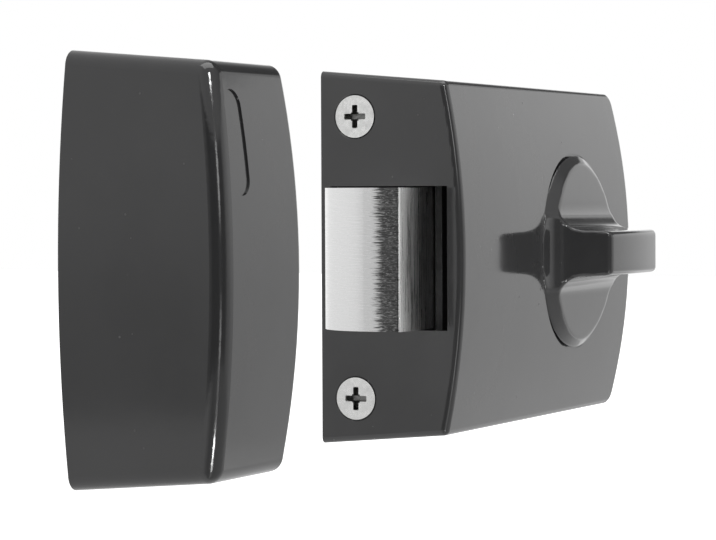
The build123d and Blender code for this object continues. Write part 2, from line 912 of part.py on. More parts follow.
# Hub with the arm that draws the bolt back, clamped to the knob's tang
with BuildPart() as drive_hub:
    round_out(hub_radius, hub_back, hub_front)
    with BuildSketch(arm_plane):
        with BuildLine():
            Polyline(
                (0, -arm_neck / 2),
                (arm_reach, -arm_waist / 2),
                (arm_reach, arm_waist / 2),
                (0, arm_neck / 2),
                close=True,
            )
        make_face()
        with Locations((arm_reach, 0)):
            Circle(arm_tip_radius)
    extrude(amount=tail_thickness)
    round_out(hub_recess_radius, hub_back, web_back, mode=Mode.SUBTRACT)
    round_out(knob_screw_hole_radius, web_back, web_front, mode=Mode.SUBTRACT)
    with BuildSketch(Plane.XZ.offset(web_front)):
        RectangleRounded(tang_width + 2 * shaft_gap, tang_width + 2 * shaft_gap, tang_corner)
    extrude(amount=hub_front - web_front, mode=Mode.SUBTRACT)
    round_out(bush_bore, hub_front - hub_stem_pocket, hub_front, mode=Mode.SUBTRACT)
drive_hub.part.label = "drive_hub"

# Screw that holds the hub on the knob's tang
with BuildPart() as knob_screw:
    add(
        cross_screw(
            back_plane(web_back),
            knob_screw_head_radius,
            knob_screw_head,
            knob_screw_radius,
            hub_web + knob_screw_grip,
            knob_recess,
            False,
        )
    )
knob_screw.part.label = "knob_screw"

# Driver that the key's tail bar turns, with the dog that works the deadlock lever
with BuildPart() as tail_driver:
    round_out(driver_radius, driver_back, driver_front)
    round_out(spigot_radius, cover_back - spigot_reach, driver_back)
    with BuildSketch(dog_plane):
        with BuildLine():
            Polyline(
                (0, -dog_root),
                (dog_reach, -dog_tip_radius),
                (dog_reach, dog_tip_radius),
                (0, dog_root),
                close=True,
            )
        make_face()
        with Locations((dog_reach, 0)):
            Circle(dog_tip_radius)
    extrude(amount=driver_thickness)
    block(
        -slot_width / 2,
        slot_width / 2,
        cover_back - spigot_reach,
        driver_front,
        -slot_length / 2,
        slot_length / 2,
        mode=Mode.SUBTRACT,
    )
tail_driver.part.label = "tail_driver"

# Lever that drops beside the stop pin and deadlocks the bolt, drawn as it lies when locked
with BuildPart() as deadlock_lever:
    with BuildSketch(lever_plane):
        Circle(nose_outer_radius)
        Circle(nose_inner_radius, mode=Mode.SUBTRACT)
        with Locations((-nose_outer_radius / 2, (nose_bottom + lever_arm / 2) / 2)):
            Rectangle(nose_outer_radius, lever_arm / 2 - nose_bottom, mode=Mode.INTERSECT)
        with Locations((-nose_inner_radius / 2 - spare / 2, 0)):
            Rectangle(nose_inner_radius + spare, lever_arm)
        Circle(lever_boss_radius)
        with BuildLine():
            Polyline(
                (0, lever_arm / 2),
                (lever_tail_x, -lever_tail_drop + lever_tip_radius),
                (lever_tail_x, -lever_tail_drop - lever_tip_radius),
                (0, -lever_arm / 2),
                close=True,
            )
        make_face()
        with Locations((lever_tail_x, -lever_tail_drop)):
            Circle(lever_tip_radius)
        Circle(pivot_radius + shaft_gap, mode=Mode.SUBTRACT)
    extrude(amount=lever_thickness)
deadlock_lever.part.label = "deadlock_lever"

# Shouldered rivet in the back cover that the lever turns on
with BuildPart() as lever_pivot:
    round_out(pivot_radius, cover_back, pivot_head_back, lever_pivot_x, lever_pivot_z)
    round_out(pivot_head_radius, pivot_head_back, pivot_head_end, lever_pivot_x, lever_pivot_z)
lever_pivot.part.label = "lever_pivot"

# Spring washer under the rivet's head that holds the lever where the driver leaves it
with BuildPart() as lever_washer:
    round_out(pivot_head_radius, washer_seat, pivot_head_back, lever_pivot_x, lever_pivot_z)
    round_out(pivot_radius, washer_seat, pivot_head_back, lever_pivot_x, lever_pivot_z, mode=Mode.SUBTRACT)
lever_washer.part.label = "lever_washer"

# Panel sunk in the keeper's face to an even depth under the crown
with BuildPart() as badge_cut:
    with BuildSketch(Plane.XZ.offset(keeper_depth - case_wall)):
        with Locations((keeper_face_x - badge_from_mouth_face, badge_height_above_middle)):
            SlotOverall(badge_length, badge_width, rotation=90)
    extrude(amount=case_wall + front_crown + spare)
    add(
        barrel_form(keeper_face_x, -1, keeper_width, half_height, keeper_depth - badge_recess),
        mode=Mode.SUBTRACT,
    )

# Shell of the keeper, with the mouth that takes the bolt and a sunk panel left bare
with BuildPart() as keeper_shell:
    add(
        casting_form(
            keeper_face_x,
            -1,
            keeper_width,
            keeper_depth,
            keeper_edge_radius,
            keeper_corner,
            keeper_small_radius,
        )
    )
    add(
        barrel_form(
            keeper_face_x - forend_wall,
            -1,
            keeper_width - forend_wall - case_wall,
            half_height - case_wall,
            keeper_depth - case_wall,
            -spare,
        ),
        mode=Mode.SUBTRACT,
    )
    block(
        keeper_face_x - forend_wall - spare,
        keeper_face_x + spare,
        mouth_floor,
        mouth_depth,
        -mouth_height / 2,
        mouth_height / 2,
        mode=Mode.SUBTRACT,
    )
    for side in (-1, 1):
        face_screw_hole(keeper_face_x, -1, face_screw_depth, side * face_screw_spacing / 2)
    add(badge_cut.part, mode=Mode.SUBTRACT)
keeper_shell.part.label = "keeper_shell"

# Steel plate that holds the keeper to the frame of the door
with BuildPart() as keeper_plate:
    with BuildSketch(back_plane(0)):
        with Locations(((keeper_plate_left_x + keeper_plate_right_x) / 2, 0)):
            RectangleRounded(keeper_plate_right_x - keeper_plate_left_x, 2 * plate_half, plate_corner)
        with Locations((keeper_plate_right_x - plate_corner / 2, 0)):
            Rectangle(plate_corner, 2 * plate_half)
        with Locations((keeper_screw_x, 0)):
            with GridLocations(0, keeper_screw_spacing, 1, 2):
                Circle(door_screw_radius, mode=Mode.SUBTRACT)
    extrude(amount=-plate_thickness)
    for side in (-1, 1):
        lug_z = side * face_screw_spacing / 2
        block(
            keeper_lug_x - lug_thickness / 2,
            keeper_plate_right_x,
            0,
            lug_height,
            lug_z - lug_width / 2,
            lug_z + lug_width / 2,
        )
        round_along(
            face_screw_shank_radius,
            keeper_lug_x - lug_thickness,
            keeper_lug_x + lug_thickness,
            face_screw_depth,
            lug_z,
            mode=Mode.SUBTRACT,
        )
keeper_plate.part.label = "keeper_plate"

# Two countersunk screws in the keeper's mouth face
with BuildPart() as keeper_screws:
    for z in (face_screw_spacing / 2, -face_screw_spacing / 2):
        add(
            cross_screw(
                end_plane(keeper_face_x, face_screw_depth, z, facing=1),
                face_screw_head_radius,
                face_screw_head_radius - face_screw_shank_radius,
                face_screw_shank_radius,
                face_screw_length,
                face_recess,
                True,
            )
        )
keeper_screws.part.label = "keeper_screws"

pieces = (
    case_shell,
    mounting_plate,
    forend_screws,
    back_cover,
    cover_screws,
    latch_bolt,
    bolt_tail,
    bolt_pins,
    tail_stop_pin,
    bolt_spring,
    spring_rod,
    bolt_guide,
    guide_screws,
    knob,
    knob_bush,
    hub_washer,
    drive_hub,
    knob_screw,
    tail_driver,
    deadlock_lever,
    lever_pivot,
    lever_washer,
    keeper_shell,
    keeper_plate,
    keeper_screws,
)
for piece in pieces:
    export_step(piece.part, f"parts/{piece.part.label}.step")
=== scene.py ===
import math

import bpy
from mathutils import Matrix, Vector


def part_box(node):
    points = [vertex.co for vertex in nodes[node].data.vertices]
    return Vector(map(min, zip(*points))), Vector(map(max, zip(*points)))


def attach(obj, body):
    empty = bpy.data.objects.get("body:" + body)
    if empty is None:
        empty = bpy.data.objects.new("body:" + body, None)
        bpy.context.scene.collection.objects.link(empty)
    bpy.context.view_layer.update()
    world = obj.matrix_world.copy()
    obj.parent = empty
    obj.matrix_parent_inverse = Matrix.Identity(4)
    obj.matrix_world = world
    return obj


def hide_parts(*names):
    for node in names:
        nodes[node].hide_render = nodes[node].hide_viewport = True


# A rim box lock and its box keeper, which stand apart as on a door that is ajar.
# Each section below dresses or makes one piece of it, or a group of like pieces.
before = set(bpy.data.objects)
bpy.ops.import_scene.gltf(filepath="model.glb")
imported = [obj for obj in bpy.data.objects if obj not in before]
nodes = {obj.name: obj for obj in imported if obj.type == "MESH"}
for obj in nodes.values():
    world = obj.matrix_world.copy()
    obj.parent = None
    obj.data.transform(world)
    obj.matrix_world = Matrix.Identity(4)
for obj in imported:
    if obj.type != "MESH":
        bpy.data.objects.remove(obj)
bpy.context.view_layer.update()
scene = bpy.context.scene
scene.view_settings.view_transform = "Standard"

# ---------------------------------------------------------------------------
# The camera: a long lens that looks along the door at the edge of the lock,
# from the room's side and a little from above.
EYE = (-0.52884, -0.23131, 0.01271)
LOOK_YAW = 1.12571
LOOK_PITCH = -0.02891
LOOK_ROLL = -0.00414
LENS_MM = 137.86
SENSOR_MM = 36.0

bpy.ops.object.camera_add(location=EYE)
camera = bpy.context.object
camera.name = "long_lens"
camera.data.sensor_width = SENSOR_MM
camera.data.lens = LENS_MM
turn = (
    Matrix.Rotation(-LOOK_YAW, 3, "Z")
    @ Matrix.Rotation(math.pi / 2 + LOOK_PITCH, 3, "X")
    @ Matrix.Rotation(LOOK_ROLL, 3, "Z")
)
camera.rotation_euler = turn.to_euler()
scene.camera = camera

# ---------------------------------------------------------------------------
# The air of the studio: a white room. Its walls light the lock evenly, and
# what shines shows them with a few grey flags hung between the lamps.
WALL_LIGHT = 0.42
FULL_SHINE = 2.0
# Where the room's low, high and overhead parts begin, by the rise of a ray
LOW_EDGE = (-0.24, -0.30)
HIGH_EDGE = (0.30, 0.34)
OVERHEAD_EDGE = (0.88, 0.95)
OVERHEAD_LEVEL = 1.0
# The part level with the lock grows brighter upwards
LIFT_EDGE = (-0.20, 0.20)
LIFT_LEVELS = (0.72, 1.12)
# A narrow lamp beside the camera, with a strobe above and below it. A side is a
# share of a turn, and a rise counts both up and down.
STRIP_BEARING = 231.0
STRIP_LEVEL = 4.0
STRIP_SIDE = (0.010, 0.018)
STRIP_RISE = (0.06, 0.20)
STROBE_LEVEL = 40.0
STROBE_SIDE = (0.010, 0.020)
STROBE_START = (0.44, 0.48)
STROBE_END = (0.50, 0.54)
# How bright what shines finds the room, by bearing in degrees: level with the
# lock, high up and low down
ROUND_LEVEL = (
    (0, 0.95),
    (12, 1.25),
    (45, 1.3),
    (70, 1.0),
    (140, 0.9),
    (157, 0.85),
    (163, 0.30),
    (176, 0.0),
    (214, 0.0),
    (222, 0.20),
    (228, 0.20),
    (236, 0.05),
    (258, 0.05),
    (276, 0.90),
    (300, 1.30),
    (318, 1.20),
    (332, 0.62),
    (345, 0.90),
)
ROUND_HIGH = (
    (0, 0.12),
    (40, 1.0),
    (170, 1.0),
    (200, 0.8),
    (260, 0.8),
    (300, 0.45),
    (315, 0.12),
    (350, 0.08),
)
ROUND_LOW = (
    (0, 1.0),
    (60, 1.0),
    (170, 1.0),
    (200, 0.3),
    (222, 0.5),
    (230, 1.9),
    (238, 0.5),
    (300, 0.6),
    (345, 1.0),
)


def join(tree, source, target):
    tree.links.new(source, target)


def feed(tree, value, socket):
    """Gives a socket a plain number, or joins another socket to it."""
    if isinstance(value, (int, float)):
        socket.default_value = value
    else:
        join(tree, value, socket)


def maths(tree, operation, first, second=0.0):
    """One sum on two values, each a socket or a plain number."""
    node = tree.nodes.new("ShaderNodeMath")
    node.operation = operation
    feed(tree, first, node.inputs[0])
    feed(tree, second, node.inputs[1])
    return node.outputs["Value"]


def mix_values(tree, amount, first, second):
    """A value between two others, each a socket or a plain number."""
    node = tree.nodes.new("ShaderNodeMix")
    node.data_type = "FLOAT"
    feed(tree, amount, node.inputs["Factor"])
    feed(tree, first, node.inputs["A"])
    feed(tree, second, node.inputs["B"])
    return node.outputs["Result"]


def ramp_between(tree, value, low, high, at_low=0.0, at_high=1.0):
    """A smooth step of a value from one level to another."""
    node = tree.nodes.new("ShaderNodeMapRange")
    node.interpolation_type = "SMOOTHSTEP"
    join(tree, value, node.inputs["Value"])
    node.inputs["From Min"].default_value = low
    node.inputs["From Max"].default_value = high
    node.inputs["To Min"].default_value = at_low
    node.inputs["To Max"].default_value = at_high
    return node.outputs["Result"]


def round_room(tree, around, levels):
    """The level of the room by bearing, from a table of bearings and levels."""
    node = tree.nodes.new("ShaderNodeValToRGB")
    spots = node.color_ramp.elements
    spots[0].position = 0.0
    spots[1].position = 1.0
    for degrees, _ in levels[1:]:
        spots.new(degrees / 360)
    for spot, (degrees, level) in zip(spots, (*levels, (360, levels[0][1]))):
        spot.position = degrees / 360
        share = level / FULL_SHINE
        spot.color = (share, share, share, 1)
    join(tree, around, node.inputs["Fac"])
    return maths(tree, "MULTIPLY", node.outputs["Color"], FULL_SHINE)


world = bpy.data.worlds.new("white_room")
scene.world = world
world.use_nodes = True
air = world.node_tree
split = air.nodes.new("ShaderNodeSeparateXYZ")
join(air, air.nodes.new("ShaderNodeTexCoord").outputs["Generated"], split.inputs["Vector"])
height = split.outputs["Z"]
rise = maths(air, "ABSOLUTE", height)
bearing = maths(air, "ARCTAN2", split.outputs["Y"], split.outputs["X"])
around = maths(air, "FRACT", maths(air, "ADD", maths(air, "DIVIDE", bearing, 2 * math.pi), 1.0))
shine = round_room(air, around, ROUND_LEVEL)
from_strip = maths(air, "ABSOLUTE", maths(air, "SUBTRACT", around, STRIP_BEARING / 360))
strip = ramp_between(air, from_strip, *STRIP_SIDE, 1.0, 0.0)
strip = maths(air, "MULTIPLY", strip, ramp_between(air, rise, *STRIP_RISE, 0.0, STRIP_LEVEL))
shine = maths(air, "ADD", shine, strip)
shine = maths(air, "MULTIPLY", shine, ramp_between(air, height, *LIFT_EDGE, *LIFT_LEVELS))
high_shine = round_room(air, around, ROUND_HIGH)
shine = mix_values(air, ramp_between(air, height, *HIGH_EDGE), shine, high_shine)
shine = mix_values(air, ramp_between(air, height, *OVERHEAD_EDGE), shine, OVERHEAD_LEVEL)
low_shine = round_room(air, around, ROUND_LOW)
shine = mix_values(air, ramp_between(air, height, *LOW_EDGE), shine, low_shine)
strobe = ramp_between(air, from_strip, *STROBE_SIDE, 1.0, 0.0)
strobe = maths(air, "MULTIPLY", strobe, ramp_between(air, rise, *STROBE_START, 0.0, STROBE_LEVEL))
strobe = maths(air, "MULTIPLY", strobe, ramp_between(air, rise, *STROBE_END, 1.0, 0.0))
shine = maths(air, "ADD", shine, strobe)
ray = air.nodes.new("ShaderNodeLightPath").outputs
level = mix_values(air, ray["Is Glossy Ray"], WALL_LIGHT, shine)
seen = maths(air, "MAXIMUM", ray["Is Camera Ray"], ray["Is Transmission Ray"])
white = maths(air, "MULTIPLY", seen, maths(air, "SUBTRACT", 1.0, level))
join(air, maths(air, "ADD", level, white), air.nodes["Background"].inputs["Strength"])
air.nodes["Background"].inputs["Color"].default_value = (1, 1, 1, 1)

# ---------------------------------------------------------------------------
# Soft lamps: a large box on the room's side, past the far end of the lock, and
# one above. Both face the middle of the lock and its keeper.
LOCK_MIDDLE = (-0.06, -0.015, 0.0)
ROOM_SIDE_PLACE = (1.0, -0.33, -0.05)
ROOM_SIDE_SIZE = (0.88, 0.70)
ROOM_SIDE_WATTS = 0.95
TOP_PLACE = (-0.15, -0.15, 0.9)
TOP_SIZE = (0.9, 0.7)
TOP_WATTS = 5.0


def soft_lamp(name, place, size, watts):
    """An area lamp that faces the middle of the lock."""
    bpy.ops.object.light_add(type="AREA", location=place)
    lamp = bpy.context.object
    lamp.name = name
    lamp.data.shape = "RECTANGLE"
    lamp.data.size, lamp.data.size_y = size
    lamp.data.energy = watts
    aim = Vector(LOCK_MIDDLE) - lamp.location
    lamp.rotation_euler = aim.to_track_quat("-Z", "Y").to_euler()


soft_lamp("room_side_softbox", ROOM_SIDE_PLACE, ROOM_SIDE_SIZE, ROOM_SIDE_WATTS)
soft_lamp("top_softbox", TOP_PLACE, TOP_SIZE, TOP_WATTS)

# ---------------------------------------------------------------------------
# The floor: pale paper well below the lock, which is held up for the picture.
# Near the lock it keeps the soft shadow, and far off it runs into the white.
FLOOR_SIZE = 8.0
FLOOR_Z = -0.14
PAPER_WHITE = (0.90, 0.90, 0.90)
PAPER_ROUGHNESS = 0.9
SHADOW_EDGE = (0.35, 1.4)
FILL_LEVELS = (0.42, 1.0)


def add_node(tree, kind, **settings):
    """A node with its settings; a plain number goes to the socket of that name."""
    node = tree.nodes.new(kind)
    for name, value in settings.items():
        if hasattr(node, name):
            setattr(node, name, value)
        else:
            node.inputs[name].default_value = value
    return node


bpy.ops.mesh.primitive_plane_add(size=FLOOR_SIZE, location=(0, 0, FLOOR_Z))
floor = bpy.context.object
floor.name = "floor"
floor.visible_glossy = False
paper = bpy.data.materials.new("white_paper")
paper.use_nodes = True
sheet = paper.node_tree
paper_shader = sheet.nodes["Principled BSDF"]
paper_shader.inputs["Base Color"].default_value = (*PAPER_WHITE, 1)
paper_shader.inputs["Roughness"].default_value = PAPER_ROUGHNESS
paper_shader.inputs["Emission Color"].default_value = (1, 1, 1, 1)
place = sheet.nodes.new("ShaderNodeTexCoord").outputs["Object"]
far = add_node(sheet, "ShaderNodeVectorMath", operation="LENGTH")
join(sheet, place, far.inputs[0])
fill = ramp_between(sheet, far.outputs["Value"], *SHADOW_EDGE, *FILL_LEVELS)
ray = sheet.nodes.new("ShaderNodeLightPath").outputs
glow = maths(sheet, "MULTIPLY", fill, ray["Is Camera Ray"])
join(sheet, glow, paper_shader.inputs["Emission Strength"])
floor.data.materials.append(paper)

# ---------------------------------------------------------------------------
# Lock case and keeper: zinc castings stoved in gloss black enamel, which lies
# on them with a faint orange peel and a little dust.
BLACK = (0.055, 0.055, 0.056)
BLACK_HAZE = (0.062, 0.062, 0.063)
# The keeper's black and haze are the case's enamel made darker: painted shade
KEEPER_SHADED_BLACK = (0.036, 0.036, 0.037)
KEEPER_SHADED_HAZE = (0.041, 0.041, 0.042)
DUST = (0.085, 0.085, 0.085)
CASE_ROUGHNESS = 0.07
KEEPER_ROUGHNESS = 0.08
HAZE_ROUGHNESS = 0.03
DUST_ROUGHNESS = 0.5
ENAMEL_IOR = 1.52
PEEL_DEPTH = 0.000012
# How many of each go to a metre
PEEL_WAVES = 260.0
PEEL_RIPPLES = 900.0
HAZE_PATCHES = 60.0
DUST_PLACES = 420.0
DUST_DRIFTS = 170.0
# Shares of the height, and the edges at which patches begin and end
WAVE_SHARE = 0.7
RIPPLE_SHARE = 0.3
HAZE_EDGE = (0.35, 0.65)
SPECK_EDGE = (0.05, 0.11)
DRIFT_EDGE = (0.66, 0.70)


def new_group(name, inputs, outputs):
    """An empty shader group with named value or vector inputs and named outputs."""
    group = bpy.data.node_groups.new(name, "ShaderNodeTree")
    for title, kind, value in inputs:
        socket = group.interface.new_socket(title, in_out="INPUT", socket_type=kind)
        if value is not None:
            socket.default_value = value
    for title, kind in outputs:
        group.interface.new_socket(title, in_out="OUTPUT", socket_type=kind)
    return group, group.nodes.new("NodeGroupInput"), group.nodes.new("NodeGroupOutput")


def group_node(tree, group, place):
    node = tree.nodes.new("ShaderNodeGroup")
    node.node_tree = group
    join(tree, place, node.inputs["Place"])
    return node


def new_material(name, metallic=0.0):
    material = bpy.data.materials.new(name)
    material.use_nodes = True
    tree = material.node_tree
    shader = tree.nodes["Principled BSDF"]
    shader.inputs["Metallic"].default_value = metallic
    return material, tree, shader


def place_of(tree):
    return tree.nodes.new("ShaderNodeTexCoord").outputs["Object"]


def noise(tree, place, scale, detail=2.0, roughness=0.5):
    node = add_node(tree, "ShaderNodeTexNoise", Scale=scale, Detail=detail, Roughness=roughness)
    join(tree, place, node.inputs["Vector"])
    return node.outputs["Fac"]


def blend_colours(tree, amount, first, second):
    """A mix of two colours by a mask."""
    node = add_node(tree, "ShaderNodeMix", data_type="RGBA")
    join(tree, amount, node.inputs["Factor"])
    for socket, colour in ((node.inputs["A"], first), (node.inputs["B"], second)):
        if isinstance(colour, tuple):
            socket.default_value = (*colour, 1)
        else:
            join(tree, colour, socket)
    return node.outputs["Result"]


def relief(tree, shader, height, depth):
    """Bump of a given depth in metres on a shader."""
    node = add_node(tree, "ShaderNodeBump", Strength=1.0, Distance=depth)
    join(tree, height, node.inputs["Height"])
    join(tree, node.outputs["Normal"], shader.inputs["Normal"])


def dress(name, material):
    """Puts a material on a node of the CAD model in place of its own."""
    nodes[name].data.materials.clear()
    nodes[name].data.materials.append(material)


peel, peel_in, peel_out = new_group(
    "orange_peel",
    [("Place", "NodeSocketVector", None)],
    [("Height", "NodeSocketFloat"), ("Haze", "NodeSocketFloat"), ("Dust", "NodeSocketFloat")],
)
where = peel_in.outputs["Place"]
waves = maths(peel, "MULTIPLY", noise(peel, where, PEEL_WAVES, 1.0), WAVE_SHARE)
ripples = noise(peel, where, PEEL_RIPPLES, 1.0)
ripples = maths(peel, "MULTIPLY", ripples, RIPPLE_SHARE)
join(peel, maths(peel, "ADD", waves, ripples), peel_out.inputs["Height"])
haze = ramp_between(peel, noise(peel, where, HAZE_PATCHES, 3.0), *HAZE_EDGE)
join(peel, haze, peel_out.inputs["Haze"])
speck = add_node(peel, "ShaderNodeTexVoronoi", Scale=DUST_PLACES)
join(peel, where, speck.inputs["Vector"])
near_speck = ramp_between(peel, speck.outputs["Distance"], *SPECK_EDGE, 1.0, 0.0)
few = ramp_between(peel, noise(peel, where, DUST_DRIFTS, 0.0), *DRIFT_EDGE)
join(peel, maths(peel, "MULTIPLY", near_speck, few), peel_out.inputs["Dust"])


def gloss_enamel(name, paint, haze_paint, roughness):
    """Black paint that is a little paler and duller in its haze and under its dust."""
    material, tree, shader = new_material(name)
    skin = group_node(tree, peel, place_of(tree))
    haze, dust = skin.outputs["Haze"], skin.outputs["Dust"]
    colour = blend_colours(tree, haze, paint, haze_paint)
    join(tree, blend_colours(tree, dust, colour, DUST), shader.inputs["Base Color"])
    rough = maths(tree, "ADD", maths(tree, "MULTIPLY", haze, HAZE_ROUGHNESS), roughness)
    rough = maths(tree, "ADD", rough, maths(tree, "MULTIPLY", dust, DUST_ROUGHNESS))
    join(tree, rough, shader.inputs["Roughness"])
    shader.inputs["IOR"].default_value = ENAMEL_IOR
    relief(tree, shader, skin.outputs["Height"], PEEL_DEPTH)
    return material


dress("case_shell", gloss_enamel("case_enamel", BLACK, BLACK_HAZE, CASE_ROUGHNESS))
# The keeper wears a darker copy of the case's enamel, as painted shade
dress("keeper_shell", gloss_enamel("keeper_enamel", KEEPER_SHADED_BLACK, KEEPER_SHADED_HAZE, KEEPER_ROUGHNESS))

# ---------------------------------------------------------------------------
# Turn knob: a second zinc casting in the same enamel, a bar that rises out of
# a round base in one sweep. Every edge is rounded by the tumbling and the paint.
MERGE_DISTANCE = 0.000002
KNOB_GRAIN = 0.00028
KNOB_SEAT = -0.0280
TUMBLE_FACTOR = 0.5
TUMBLE_ROUNDS = 14
CREST_START = -0.0365
CREST_BLEND = 0.0050
CREST_HALF = 0.0137
CREST_FALL = 0.0005
KNOB_ROUGHNESS = 0.06


def merged_copy(name, title):
    """A copy of a CAD node, with its loose triangles merged."""
    bpy.ops.object.select_all(action="DESELECT")
    nodes[name].select_set(True)
    bpy.context.view_layer.objects.active = nodes[name]
    bpy.ops.object.duplicate()
    piece = bpy.context.object
    piece.name = title
    bpy.ops.object.mode_set(mode="EDIT")
    bpy.ops.mesh.select_all(action="SELECT")
    bpy.ops.mesh.remove_doubles(threshold=MERGE_DISTANCE)
    bpy.ops.mesh.normals_make_consistent(inside=False)
    bpy.ops.object.mode_set(mode="OBJECT")
    return piece


knob_casting = merged_copy("knob", "knob_casting")
skin = knob_casting.modifiers.new("even_skin", "REMESH")
skin.mode = "VOXEL"
skin.voxel_size = KNOB_GRAIN
bpy.ops.object.modifier_apply(modifier="even_skin")
outside = knob_casting.vertex_groups.new(name="outside")
outside.add([v.index for v in knob_casting.data.vertices if v.co.y < KNOB_SEAT], 1.0, "REPLACE")
tumbled = knob_casting.modifiers.new("tumbled_edges", "SMOOTH")
tumbled.factor = TUMBLE_FACTOR
tumbled.iterations = TUMBLE_ROUNDS
tumbled.vertex_group = "outside"
bpy.ops.object.modifier_apply(modifier="tumbled_edges")
crest = knob_casting.vertex_groups.new(name="crest")
for v in knob_casting.data.vertices:
    if v.co.y < CREST_START:
        risen = min(1.0, (CREST_START - v.co.y) / CREST_BLEND)
        crest.add([v.index], risen * min(1.0, (v.co.x / CREST_HALF) ** 2), "REPLACE")
crown = knob_casting.modifiers.new("crowned_crest", "DISPLACE")
crown.direction = "Y"
crown.mid_level = 0.0
crown.strength = CREST_FALL
crown.vertex_group = "crest"
bpy.ops.object.modifier_apply(modifier="crowned_crest")
bpy.ops.object.shade_smooth()
knob_casting.data.materials.clear()
knob_casting.data.materials.append(gloss_enamel("knob_enamel", BLACK, BLACK_HAZE, KNOB_ROUGHNESS))
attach(knob_casting, "turn_knob")
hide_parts("knob")

# ---------------------------------------------------------------------------
# Screws: bright zinc plate over turned heads. The tool leaves fine rings on
# each head, and those in the forend and the keeper are driven by a cross
# recess, whose plate darkens with depth: painted shade, together with dirt.
ZINC_BRIGHT = (0.97, 0.97, 0.96)
ZINC_DULL = (0.80, 0.80, 0.79)
ZINC_ROUGHNESS = 0.24
MOTTLE_ROUGHNESS = 0.14
RECESS_SHADE_AND_DIRT = (0.24, 0.24, 0.235)
SHADE_AND_DIRT_DEPTH = (0.0001, 0.0007)
RING_RATE = 26000.0
RING_BREAKS = 500.0
RING_DEPTH = 0.000004
MOTTLE_PATCHES = 900.0
MOTTLE_EDGE = (0.30, 0.75)
HEAD_RADIUS = 0.00402
ARM_LENGTH = 0.0052
ARM_WIDTH = 0.00138
STAR_WIDTH = 0.00170 * math.sqrt(2)
RECESS_DEPTH = 0.0018
ARM_DRAFT = 0.62
STAR_DRAFT = 0.35
# The middle of each group of screws, and how far from it they stand on each side
COVER_SCREWS = {"X": (-0.0095, 0.0245), "Z": (0.0, 0.0288)}
GUIDE_SCREWS = {"X": (-0.049, 0.0), "Z": (0.0, 0.01795)}
KNOB_SCREW = {"X": (0.0, 0.0), "Z": (0.0, 0.0)}

rings, rings_in, rings_out = new_group(
    "turned_head",
    [("Place", "NodeSocketVector", None)],
    [("Height", "NodeSocketFloat"), ("Mottle", "NodeSocketFloat")],
)
where = rings_in.outputs["Place"]
from_axis = add_node(rings, "ShaderNodeVectorMath", operation="LENGTH")
join(rings, where, from_axis.inputs[0])
grooves = maths(rings, "SINE", maths(rings, "MULTIPLY", from_axis.outputs["Value"], RING_RATE))
grooves = maths(rings, "MULTIPLY", grooves, noise(rings, where, RING_BREAKS, 2.0))
join(rings, grooves, rings_out.inputs["Height"])
mottle = ramp_between(rings, noise(rings, where, MOTTLE_PATCHES, 4.0, 0.7), *MOTTLE_EDGE)
join(rings, mottle, rings_out.inputs["Mottle"])


def bright_zinc(name, middle, fold, flat, face=None):
    """Zinc plate with rings about the axis of each screw of a group.

    fold gives the axes with screws on both sides of the middle, flat the axis that the heads
    face along, and face the place of a recessed head on it and the side that it looks to.
    """
    material, tree, shader = new_material(name, 1.0)
    parts = tree.nodes.new("ShaderNodeSeparateXYZ")
    join(tree, place_of(tree), parts.inputs["Vector"])
    on_head = tree.nodes.new("ShaderNodeCombineXYZ")
    for axis in "XYZ":
        if axis == flat:
            continue
        centre, spread = middle[axis]
        value = maths(tree, "SUBTRACT", parts.outputs[axis], centre)
        if axis in fold:
            value = maths(tree, "SUBTRACT", maths(tree, "ABSOLUTE", value), spread)
        join(tree, value, on_head.inputs[axis])
    head = group_node(tree, rings, on_head.outputs["Vector"])
    mottle = head.outputs["Mottle"]
    colour = blend_colours(tree, mottle, ZINC_BRIGHT, ZINC_DULL)
    if face:
        face_x, side = face
        # Painted shade and dirt: the plate grows darker with depth into the recess
        sunk = maths(tree, "MULTIPLY", maths(tree, "SUBTRACT", parts.outputs["X"], face_x), -side)
        colour = blend_colours(tree, ramp_between(tree, sunk, *SHADE_AND_DIRT_DEPTH), colour, RECESS_SHADE_AND_DIRT)
    join(tree, colour, shader.inputs["Base Color"])
    rough = maths(tree, "ADD", maths(tree, "MULTIPLY", mottle, MOTTLE_ROUGHNESS), ZINC_ROUGHNESS)
    join(tree, rough, shader.inputs["Roughness"])
    relief(tree, shader, head.outputs["Height"], RING_DEPTH)
    return material


def recess_cutter(centre, width, height, side, draft):
    """A bar through the face of a head, which narrows towards its deep end."""
    bpy.ops.mesh.primitive_cube_add(size=1.0)
    cutter = bpy.context.object
    bpy.ops.object.mode_set(mode="EDIT")
    bpy.ops.transform.resize(value=(2 * RECESS_DEPTH, width, height))
    bpy.ops.mesh.select_all(action="DESELECT")
    bpy.ops.object.mode_set(mode="OBJECT")
    for v in cutter.data.vertices:
        v.select = v.co.x * side < 0
    bpy.ops.object.mode_set(mode="EDIT")
    bpy.ops.mesh.select_mode(type="VERT")
    bpy.ops.transform.resize(value=(1.0, draft, draft))
    bpy.ops.object.mode_set(mode="OBJECT")
    cutter.location = centre
    return cutter


def cut_away(piece, cutter):
    """Takes a closed cutter out of a piece."""
    cut = piece.modifiers.new("cut", "BOOLEAN")
    cut.operation = "DIFFERENCE"
    cut.solver = "EXACT"
    cut.object = cutter
    bpy.context.view_layer.objects.active = piece
    bpy.ops.object.modifier_apply(modifier="cut")
    bpy.data.objects.remove(cutter)


